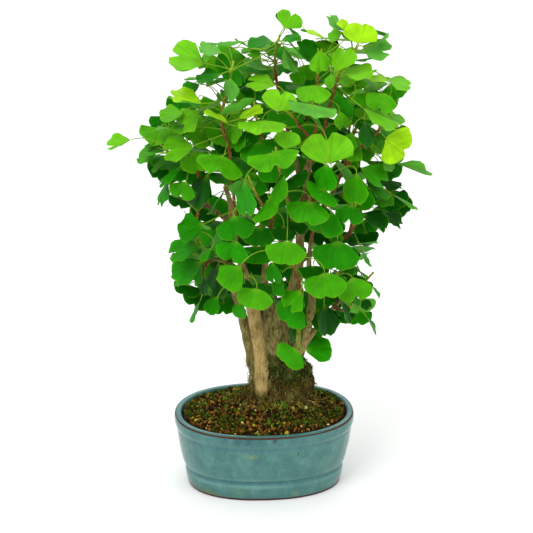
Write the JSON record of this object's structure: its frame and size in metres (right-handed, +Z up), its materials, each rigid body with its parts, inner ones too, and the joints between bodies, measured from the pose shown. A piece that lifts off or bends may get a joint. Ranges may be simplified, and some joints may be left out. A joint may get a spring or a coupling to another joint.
{
  "type": "bonsai tree",
  "caption": "Potted ginkgo bonsai with fan-shaped green leaves on upright limbs, a fused grey-brown trunk and a glazed blue-green oval pot filled with grainy soil",
  "frame": {"origin": "the middle of the pot's flat underside, which is the face the tree stands on", "axes": "+Z up along the trunk, +X to the right of the tree as seen from its front, and the front faces -Y"},
  "size_m": [0.3823, 0.262, 0.5908],
  "materials": {
    "glazed_stoneware": "glossy",
    "akadama_soil": "matte",
    "ginkgo_bark": "matte",
    "ginkgo_leaf": "satin",
    "mesh_plastic": "matte"
  },
  "bodies": {
    "root": {"drain_mesh_left": "mesh_plastic", "drain_mesh_right": "mesh_plastic", "pot": "glazed_stoneware", "shoot_back_left": "ginkgo_leaf", "shoot_back_left_low": "ginkgo_leaf", "shoot_back_low": "ginkgo_leaf", "shoot_back_low_left": "ginkgo_leaf", "shoot_back_low_right": "ginkgo_leaf", "shoot_back_right": "ginkgo_leaf", "shoot_back_right_low": "ginkgo_leaf", "shoot_back_top": "ginkgo_leaf", "shoot_centre": "ginkgo_leaf", "shoot_centre_low": "ginkgo_leaf", "shoot_centre_right": "ginkgo_leaf", "shoot_left": "ginkgo_leaf", "shoot_left_face": "ginkgo_leaf", "shoot_left_front": "ginkgo_leaf", "shoot_left_low": "ginkgo_leaf", "shoot_left_middle": "ginkgo_leaf", "shoot_left_tall": "ginkgo_leaf", "shoot_low_front": "ginkgo_leaf", "shoot_low_middle": "ginkgo_leaf", "shoot_low_right": "ginkgo_leaf", "shoot_low_right_front": "ginkgo_leaf", "shoot_low_side": "ginkgo_leaf", "shoot_middle_front": "ginkgo_leaf", "shoot_middle_top": "ginkgo_leaf", "shoot_right": "ginkgo_leaf", "shoot_right_front": "ginkgo_leaf", "shoot_right_low": "ginkgo_leaf", "shoot_top": "ginkgo_leaf", "shoot_top_front": "ginkgo_leaf", "shoot_top_left": "ginkgo_leaf", "shoot_top_right": "ginkgo_leaf", "shoot_upper_right": "ginkgo_leaf", "shoot_upper_right_back": "ginkgo_leaf", "soil": "akadama_soil", "trunk_and_limbs": "ginkgo_bark"}
  },
  "joints": []
}
